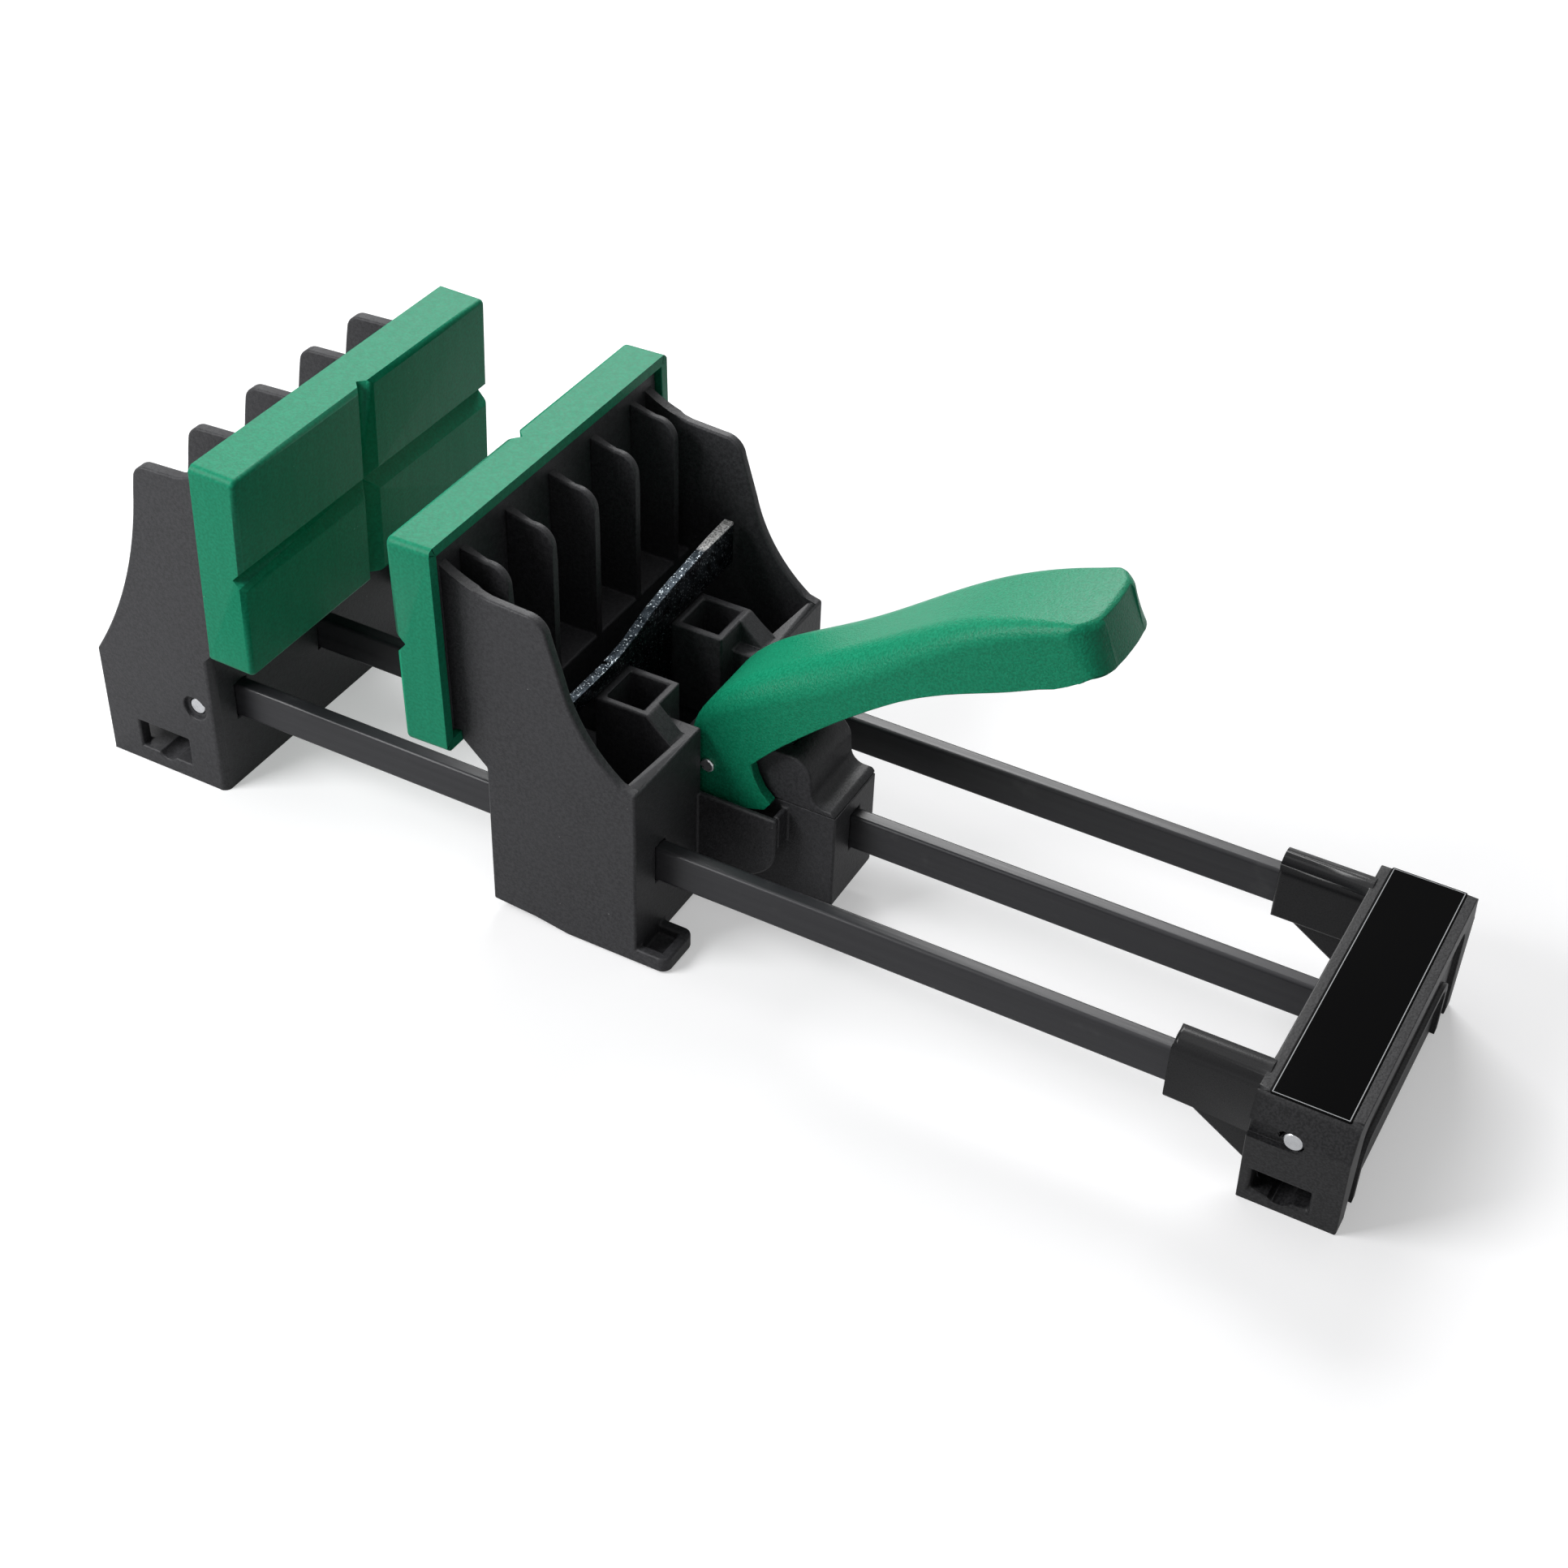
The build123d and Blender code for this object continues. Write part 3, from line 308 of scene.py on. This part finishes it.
black_plastic = finish("black_plastic", grained_black, specular=0.25)
jaw_edge = 0.8 * mm
eased("fixed_jaw", "frame", jaw_edge, black_plastic)


# Soft jaw pads
# Green caps moulded in a tough rubbery plastic and pushed over the jaw plates.
# Two vee grooves cross on each face to hold round work, and the faces show faint upright flow marks.
def pad_green(place):
    """Pad plastic: satin green with a very fine grain, faint streaks and sparse pale flecks."""
    grain = place.noise(1200, 3.0)
    streaks = place.stretch(1.0, 1.0, 0.06).noise(420, 3.0)
    cloud = place.noise(24, 2.0)
    fleck = 1 - place.cells(330).step(0.03, 0.06)
    lonely = place.noise(90, 1.0).step(0.60, 0.64)
    fine = grain.step(0.32, 0.68)
    colour = fine.blend((0.0040, 0.192, 0.100), (0.0105, 0.280, 0.152))
    colour = (cloud * 0.4).blend(colour, (0.0070, 0.232, 0.122))
    colour = (streaks.step(0.35, 0.75) * 0.30).blend(colour, (0.005, 0.190, 0.098))
    colour = (fleck * lonely).blend(colour, (0.25, 0.48, 0.36))
    roughness = grain * 0.12 + streaks * 0.08 + 0.38
    return colour, roughness, [(grain, 0.30, 0.00016), (streaks, 0.05, 0.0003)]


pad_plastic = finish("pad_plastic", pad_green, specular=0.17)
pad_edge = 0.3 * mm
eased("fixed_jaw_pad", "frame", pad_edge, pad_plastic)
eased("moving_jaw_pad", "sliding_jaw", pad_edge, pad_plastic)


# Bars
# Three cold-drawn steel flats on edge, blackened, with both ends pinned inside the plastic blocks.
# Drawing rounds their long edges and leaves fine lines along them, and use leaves pale scuffs.
def drawn_black(place):
    """Blackened drawn steel: lines along the bar, paler where it is scuffed."""
    lines = place.stretch(0.012, 1.0, 1.0).noise(2300, 3.0)
    bands = place.stretch(0.02, 1.0, 1.0).noise(520, 2.0)
    scuff = place.noise(75, 4.0).step(0.60, 0.80)
    colour = bands.blend((0.020, 0.020, 0.023), (0.038, 0.038, 0.042))
    colour = (scuff * lines * 0.5).blend(colour, (0.13, 0.13, 0.13))
    roughness = lines * 0.20 + bands * 0.12 + 0.18
    return colour, roughness, [(lines, 0.16, 0.0001), (bands, 0.10, 0.0004)]


bar_black = finish("bar_black", drawn_black, specular=0.32)
bar_corner = 1.1 * mm
bar_end_chamfer = 0.3 * mm
for bar_name in ("guide_bar_right", "guide_bar_left", "drive_bar"):
    bar_low, bar_high = (Vector(corner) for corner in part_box(bar_name))
    flat = bmesh.new()
    bmesh.ops.create_cube(flat, size=1.0)
    bmesh.ops.scale(flat, vec=bar_high - bar_low, verts=flat.verts)
    bmesh.ops.translate(flat, vec=(bar_low + bar_high) / 2, verts=flat.verts)
    long_edges = [e for e in flat.edges if e.calc_length() > 100 * mm]
    bmesh.ops.bevel(flat, geom=long_edges, offset=bar_corner, offset_type="OFFSET", affect="EDGES",
                    segments=5, profile=0.5, material=-1)
    end_edges = [e for e in flat.edges if e.calc_face_angle(0.0) > radians(60)]
    bmesh.ops.bevel(flat, geom=end_edges, offset=bar_end_chamfer, offset_type="OFFSET", affect="EDGES",
                    segments=1, profile=0.5, material=-1)
    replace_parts(place_mesh(bar_name + "_shown", flat, "frame", bar_black), bar_name)


# Pins
# Bright turned steel, cut to length: a cross pin through the bars at each end of the vise,
# and the pin that the handle turns on, which a snap ring holds. Their rims are barely broken.
def bright_steel(place):
    """Turned steel: near white, with faint marks."""
    marks = place.noise(900, 2.0)
    colour = marks.blend((0.52, 0.53, 0.55), (0.72, 0.73, 0.75))
    return colour, marks * 0.15 + 0.22, [(marks, 0.08, 0.0001)]


pin_bright = finish("pin_bright", bright_steel, metallic=1.0)
pin_edge = 0.1 * mm
eased("front_cross_pin", "frame", pin_edge, pin_bright)
eased("tail_cross_pin", "frame", pin_edge, pin_bright)
eased("handle_pivot_pin", "sliding_jaw", pin_edge, pin_bright)
eased("pivot_clip", "sliding_jaw", pin_edge / 2, pin_bright)


# Tail block
# The same nylon as the jaws, from a smoother mould: it holds the far ends of the three bars.
# Its two sleeves shine, and the block itself has a grain. A panel is sunk into its end wall.
sleeves_end = 168 * mm
grain_full = 174 * mm
tail_pin_x = 182.3 * mm
tail_pin_height = 29 * mm
panel_floor = 196.1 * mm
panel_half_width = 43.1 * mm
panel_top = 34.6 * mm


def sleeve_black(place):
    """Black nylon painted darker than the jaws' as painted shade, with a shine on the sleeves and a grain
    on the block.
    """
    grain = place.noise(1500, 3.0)
    cloud = place.noise(38, 3.0)
    dust = 1 - place.cells(240).step(0.03, 0.06)
    lonely = place.noise(120, 1.0).step(0.60, 0.64)
    on_block = place.parts()[0].step(sleeves_end, grain_full)
    # Both colours are darker than the jaws' nylon: painted shade, where the lamps' light falls off towards
    # this end.
    colour = (grain.step(0.34, 0.66) * on_block).blend((0.011, 0.011, 0.012), (0.032, 0.032, 0.034))
    colour = (dust * lonely).blend(colour, (0.14, 0.14, 0.14))
    roughness = on_block * 0.16 + grain * 0.08 + 0.24
    return colour, roughness, [(grain, on_block * 0.40 + 0.05, 0.00016), (cloud, 0.04, 0.0006)]


def crisp_on_the_tail(point):
    """True at the cross pin's holes through the inner walls, and round the sunk panel."""
    from_pin = (point - Vector((tail_pin_x, point.y, tail_pin_height))).length
    round_the_pin = from_pin < 5 * mm and abs(point.y) < 48 * mm
    between_panel_sides = abs(point.y) < panel_half_width + 0.2 * mm
    below_panel_top = 0.5 * mm < point.z < panel_top + 0.2 * mm
    round_the_panel = point.x > panel_floor - 0.2 * mm and between_panel_sides and below_panel_top
    return round_the_pin or round_the_panel


tail_plastic = finish("tail_plastic", sleeve_black, specular=0.25)
eased("tail_block", "frame", 1.2 * mm, tail_plastic, crisp=crisp_on_the_tail)


# Tail block's plate
# A plate of gloss black film, bare, set in the top of the tail block.
# A hairline of silver is printed a little way inside its edge.
label_middle = 183.9 * mm
label_half_width = 9.9 * mm
label_half_length = 48.2 * mm


def gloss_black(place):
    """Gloss black film, a little uneven as stuck-on film is, with a fine silver border."""
    cloud = place.noise(30, 2.0)
    x, y = place.parts()[:2]
    beyond = (x - label_middle).maths("ABSOLUTE") - label_half_width
    beyond = beyond.maths("MAXIMUM", y.maths("ABSOLUTE") - label_half_length)
    line = beyond.step(0.0, 0.06 * mm) * (1 - beyond.step(0.24 * mm, 0.30 * mm))
    colour = line.blend((0.0015, 0.0015, 0.0017), (0.42, 0.43, 0.44))
    return colour, cloud * 0.05 + 0.08, [(cloud, 0.02, 0.0008)]


label_black = finish("label_black", gloss_black, specular=0.04)
eased("tail_plate", "frame", 0.12 * mm, label_black)


# Sliding jaw
# The carriage runs on the three bars, the drive housing stands behind it round the middle bar,
# and a humped cover closes the housing. All three are the same nylon as the fixed jaw.
for jaw_part in ("carriage", "drive_housing", "housing_cover"):
    eased(jaw_part, "sliding_jaw", jaw_edge, black_plastic)


# Handle
# A green moulding, hollow below and harder than the pads, with a boss that turns on its pin.
# Its skin is an orange-peel satin that flecks where light grazes it. The tip is round on top,
# square at the bottom, and has a rim that turns up for the thumb.
handle_pivot = Vector((-6.3, 0, 47.6)) * mm
hollow_half_width = 13.3 * mm
hollow_end = 97.8 * mm
crease_behind = 95 * mm
crease_below = 127.3 * mm
crease_radius = 2.6 * mm
crease_reach = 1.8 * crease_radius
finest_edge = 0.8 * mm
top_fullness = 2.0 * mm
foot_forward = (2.2 * mm, 1.6 * mm)
brow_back = (0.6 * mm, 2.0 * mm)
rim_rise = 4.5 * mm


def handle_green(place):
    """Handle plastic: deep green, satin, with an orange-peel grain."""
    peel = place.noise(1500, 3.0)
    fleck = place.cells(1500).step(0.30, 0.55)
    cloud = place.noise(30, 2.0)
    colour = peel.step(0.34, 0.66).blend((0.0025, 0.200, 0.098), (0.0095, 0.290, 0.152))
    colour = (cloud * 0.4).blend(colour, (0.0050, 0.240, 0.124))
    return colour, peel * 0.16 + 0.30, [(peel, 0.60, 0.0002), (fleck, 0.25, 0.00015)]


def on_skin(point):
    """True on the outside of the tip, and not on the hollow's walls."""
    return abs(point.y) > hollow_half_width or point.x > hollow_end or point.z > crease_below - 0.1 * mm


def all_on_skin(item):
    """True for a face or an edge with every corner on the skin."""
    return all(on_skin(corner.co) for corner in item.verts)


def on_tip(point):
    """True on the skin of the tip, where the crease runs."""
    return point.x >= crease_behind - 8 * mm and point.z >= crease_below - 12 * mm and on_skin(point)


def crease_edges(form):
    """The crease between the top and the end wall: each edge's ends, and its two faces' normals."""
    found = []
    for edge in form.edges:
        middle = (edge.verts[0].co + edge.verts[1].co) / 2
        if middle.x > crease_behind and middle.z > crease_below and edge.calc_face_angle(0.0) > radians(15):
            top, wall = sorted((face.normal.copy() for face in edge.link_faces), key=lambda n: -n.z)
            found.append((edge.verts[0].co.copy(), edge.verts[1].co.copy(), top, wall))
    return found


def from_crease(point, crease):
    """A point's distance from the crease, the crease's nearest point, and its two normals there.

    The normals are averaged over the edges nearby, so they turn evenly along the crease.
    """
    gap = 1.0
    there = None
    top_sum = Vector()
    wall_sum = Vector()
    for first, last, top, wall in crease:
        share = min(1.0, max(0.0, (point - first).dot(last - first) / (last - first).length_squared))
        on_edge = first.lerp(last, share)
        distance = (point - on_edge).length
        closeness = 1 / (distance + 0.6 * mm) ** 4
        top_sum += top * closeness
        wall_sum += wall * closeness
        if distance < gap:
            gap = distance
            there = on_edge
    return gap, there, top_sum.normalized(), wall_sum.normalized()


def cut_fine(form, crease):
    """Cuts the skin near the crease into small triangles."""
    for attempt in range(6):
        close = {v for v in form.verts if on_tip(v.co) and from_crease(v.co, crease)[0] < crease_reach}
        faces = [f for f in form.faces if any(v in close for v in f.verts) and all_on_skin(f)]
        bmesh.ops.triangulate(form, faces=[f for f in faces if len(f.verts) > 3])
        long_edges = []
        for edge in form.edges:
            middle = (edge.verts[0].co + edge.verts[1].co) / 2
            if edge.calc_length() > finest_edge and all_on_skin(edge):
                if from_crease(middle, crease)[0] < crease_reach:
                    long_edges.append(edge)
        if not long_edges:
            break
        bmesh.ops.subdivide_edges(form, edges=long_edges, cuts=1)
    around = [f for f in form.faces if len(f.verts) > 3 and all_on_skin(f)]
    around = [f for f in around if f.calc_center_median().x > crease_behind - 20 * mm]
    bmesh.ops.triangulate(form, faces=around)


def round_crease(form):
    """Lays the skin near the crease over a rolling ball's path, which tapers off at the crease's ends."""
    crease = crease_edges(form)
    cut_fine(form, crease)
    moves = {}
    for corner in form.verts:
        if not on_tip(corner.co):
            continue
        gap, there, top, wall = from_crease(corner.co, crease)
        bend = top.angle(wall)
        ball = crease_radius * min(1.0, (there.x - crease_behind) / (3 * mm))
        setback = ball * tan(bend / 2)
        if ball <= 0 or gap >= setback:
            continue
        own, other = (top, wall) if (corner.co - there).dot(top - wall) > 0 else (wall, top)
        centre = there - (top + wall) * ball / (1 + cos(bend))
        tangent = centre + own * ball
        flat = there.lerp(tangent, gap / setback)
        turned = own.slerp(other, (1 - gap / setback) / 2)
        moves[corner] = centre + turned * ball - flat
    for corner, move in moves.items():
        corner.co += move


def smooth_rise(value, low, high):
    """0 below low and 1 above high, with a smooth rise between."""
    share = min(1.0, max(0.0, (value - low) / (high - low)))
    return share * share * (3 - 2 * share)


def thumb_end(form):
    """Makes the handle's top fuller, and gives the tip its slanting end wall and turned-up rim."""
    round_crease(form)
    for corner in form.verts:
        reach, side, height = corner.co
        rim = min(71.4 * mm + 0.64 * (reach - 25.4 * mm), 113.5 * mm)
        fullness = smooth_rise(reach, 25 * mm, 70 * mm) * smooth_rise(height - rim, 3 * mm, 13 * mm)
        corner.co.z += top_fullness * fullness
        if reach < 88 * mm or height < 110 * mm:
            continue
        climb = min(1.0, max(0.0, (height - 115 * mm) / (16 * mm)))
        outside = smooth_rise(reach, 88 * mm, 97 * mm) if on_skin(corner.co) else 0.0
        to_corner = (max(0.0, abs(side) - 8 * mm) / (8.5 * mm)) ** 2
        corner.co.x += outside * (1 - climb) * (foot_forward[0] + foot_forward[1] * to_corner)
        corner.co.x -= outside * climb * (brow_back[0] + brow_back[1] * to_corner)
        at_foot = 1 - smooth_rise(height, 114 * mm, 127 * mm)
        corner.co.z += rim_rise * smooth_rise(reach, 90 * mm, 99 * mm) * at_foot
    form.normal_update()


def by_the_handle_pin(point):
    """True beside the pin's hole, whose rim is crisp."""
    return (point - handle_pivot).xz.length < 4 * mm


handle_plastic = finish("handle_plastic", handle_green, specular=0.18)
eased("handle", "pump_handle", 0.4 * mm, handle_plastic, reshape=thumb_end,
      crisp=by_the_handle_pin)


# Release lever
# A strip of zinc-plated sheet steel, sheared to shape, that stands across the sliding jaw.
# The mottle is painted near black as reflection, its pale specks are painted glints, and its top edge's far
# end is painted lit.
lever_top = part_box("release_plate")[1][2]
painted_lit_from = 25.5 * mm


def zinc(place):
    """Zinc plate: a bluish mottle painted dark as reflection, upright shear marks, painted glints and one
    painted lit end.
    """
    mottle = place.noise(420, 4.0)
    shear = place.stretch(1.0, 1.0, 0.1).noise(1400, 2.0)
    speck_and_glint = place.noise(1700, 2.0)
    ragged = place.noise(300, 2.0) * (3 * mm)
    y, z = place.parts()[1:]
    # The far end of the top edge is painted bright: painted light where the lamps strike its sheared edge.
    at_end = (y + ragged).step(painted_lit_from, painted_lit_from + 1 * mm)
    painted_lit_end = at_end * z.step(lever_top - 1.0 * mm, lever_top - 0.8 * mm)
    # The mottle is painted near black: painted reflection of the black carriage round the plate.
    painted_dark_mottle = mottle.step(0.3, 0.7).blend((0.004, 0.007, 0.010), (0.034, 0.043, 0.052))
    # Pale specks painted over the mottle are painted glints; the same noise also makes small bumps.
    painted_dark_mottle = speck_and_glint.step(0.60, 0.66).blend(painted_dark_mottle, (0.42, 0.47, 0.50))
    painted_lit_colour = speck_and_glint.step(0.35, 0.60).blend((0.28, 0.28, 0.28), (0.86, 0.86, 0.85))
    colour = painted_lit_end.blend(painted_dark_mottle, painted_lit_colour)
    roughness = painted_lit_end * 0.20 + mottle * 0.20 + 0.20
    return colour, roughness, [(shear, 0.16, 0.0002), (speck_and_glint, 0.30, 0.0002)]


zinc_plate = finish("zinc_plate", zinc, metallic=1.0)
eased("release_plate", "release_lever", 0.2 * mm, zinc_plate)


# Grip plates
# Two hardened steel plates inside the drive housing, with the middle bar through them.
# The handle pushes them along the bar. They are oiled and dark.
def oiled_steel(place):
    """Dark oiled steel."""
    marks = place.noise(700, 3.0)
    colour = marks.blend((0.16, 0.16, 0.17), (0.34, 0.34, 0.35))
    return colour, marks * 0.2 + 0.3, [(marks, 0.1, 0.0001)]


dark_steel = finish("dark_steel", oiled_steel, metallic=1.0)
grip_edge = 0.15 * mm
eased("grip_plate_front", "grip_plates", grip_edge, dark_steel)
eased("grip_plate_rear", "grip_plates", grip_edge, dark_steel)


# Springs
# Two coils of round wire round the middle bar. One pushes the grip plates back after a stroke,
# and the other stands the release lever up again. Each shortens towards its fixed end.
bar_height = 29 * mm
coil_radius = 8.4 * mm
coil_turns = 3
wire_radius = 0.65 * mm
wire_sides = 12
steps_in_a_turn = 36


def coil(name, start, end):
    """Spins a ring of wire round the middle bar into a spring that rides on the sliding jaw."""
    pitch = (end - start - 2 * wire_radius) / coil_turns
    first = start + wire_radius
    outward = Vector((0, 1, 0))
    onward = Vector((pitch / (2 * pi), 0, coil_radius)).normalized()
    wire_end = Matrix((outward, onward.cross(outward), onward)).transposed().to_4x4()
    wire_end.translation = (first, coil_radius, bar_height)
    form = bmesh.new()
    bmesh.ops.create_circle(form, segments=wire_sides, radius=wire_radius, matrix=wire_end)
    bmesh.ops.spin(form, geom=form.verts[:] + form.edges[:], cent=(first, 0, bar_height), axis=(1, 0, 0),
                   dvec=(pitch / steps_in_a_turn, 0, 0), angle=2 * pi * coil_turns,
                   steps=coil_turns * steps_in_a_turn)
    bmesh.ops.holes_fill(form, edges=[e for e in form.edges if e.is_boundary])
    bmesh.ops.recalc_face_normals(form, faces=form.faces)
    piece = place_mesh(name + "_shown", form, "sliding_jaw", dark_steel)
    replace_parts(piece, name)
    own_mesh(piece)


drive_start, drive_end = (corner[0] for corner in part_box("drive_spring"))
coil("drive_spring", drive_start, drive_end)
release_start, release_end = (corner[0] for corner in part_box("release_spring"))
coil("release_spring", release_start, release_end)


# Floor, background and lamps
# A flat, matt white studio floor that takes the vise's shadow and turns plain white further off.
# A soft lamp stands in front on the left, a wider one behind, and a weak one hangs overhead.
def plainly_seen(start):
    """1 for a camera ray or one through glass, and a share for a mirrored one."""
    rays = start.node("LightPath").socket.node.outputs
    from_camera = Flow(start.tree, rays["Is Camera Ray"])
    through_glass = Flow(start.tree, rays["Is Transmission Ray"])
    mirrored = Flow(start.tree, rays["Is Glossy Ray"])
    return from_camera.maths("MAXIMUM", through_glass).maths("MAXIMUM", mirrored * 0.6)


floor_white = bpy.data.materials.new("floor_white")
floor_white.use_nodes = True
floor_tree = floor_white.node_tree
floor_shader = floor_tree.nodes["Principled BSDF"]
floor_shader.inputs["Roughness"].default_value = 0.9
floor_shader.inputs["Specular IOR Level"].default_value = 0.1
floor_start = Flow(floor_tree)
floor_seen = plainly_seen(floor_start)
floor_colour = floor_seen.blend((0.38, 0.38, 0.385), (0.74, 0.74, 0.75))
floor_tree.links.new(floor_colour.socket, floor_shader.inputs["Base Color"])
floor_place = floor_start.node("TexCoord", out=3)
far_off = floor_place.node("VectorMath", ((0, floor_place),), out=1, operation="LENGTH").step(0.45, 1.1)
lift = 0.40
floor_glow = floor_start.node("Emission", (("Color", (1.0, 1.0, 1.0, 1.0)),
                                           ("Strength", floor_seen * (far_off * (1 - lift) + lift))))
floor_matt = Flow(floor_tree, floor_shader.outputs[0])
floor_surface = floor_start.node("AddShader", ((0, floor_matt), (1, floor_glow)))
floor_tree.links.new(floor_surface.socket, floor_tree.nodes["Material Output"].inputs["Surface"])

floor_form = bmesh.new()
bmesh.ops.create_grid(floor_form, x_segments=1, y_segments=1, size=3.0)
floor_mesh = bpy.data.meshes.new("floor")
floor_form.to_mesh(floor_mesh)
floor_form.free()
floor_mesh.materials.append(floor_white)
floor = bpy.data.objects.new("floor", floor_mesh)
bpy.context.scene.collection.objects.link(floor)

world = bpy.data.worlds.new("studio")
world.use_nodes = True
background = world.node_tree.nodes["Background"].inputs
plain = 0.12
strength = plainly_seen(Flow(world.node_tree)) * (1 - plain) + plain
world.node_tree.links.new(strength.socket, background["Strength"])
background["Color"].default_value = (1.0, 1.0, 1.0, 1.0)
bpy.context.scene.world = world

lamp_aim = Vector((0, 0, 0.04))
for lamp_name, lamp_place, width, height, power in (("key", (-0.56, -0.58, 0.66), 0.45, 0.45, 8.6),
                                                    ("behind", (-0.50, 0.95, 0.90), 0.8, 0.5, 13),
                                                    ("overhead", (-0.15, 0.0, 1.3), 1.0, 1.0, 3)):
    soft_box = bpy.data.lights.new(lamp_name, "AREA")
    soft_box.shape = "RECTANGLE"
    soft_box.size = width
    soft_box.size_y = height
    soft_box.energy = power
    lamp = bpy.data.objects.new(lamp_name, soft_box)
    lamp.location = lamp_place
    lamp.rotation_euler = (lamp_aim - lamp.location).to_track_quat("-Z", "Y").to_euler()
    bpy.context.scene.collection.objects.link(lamp)
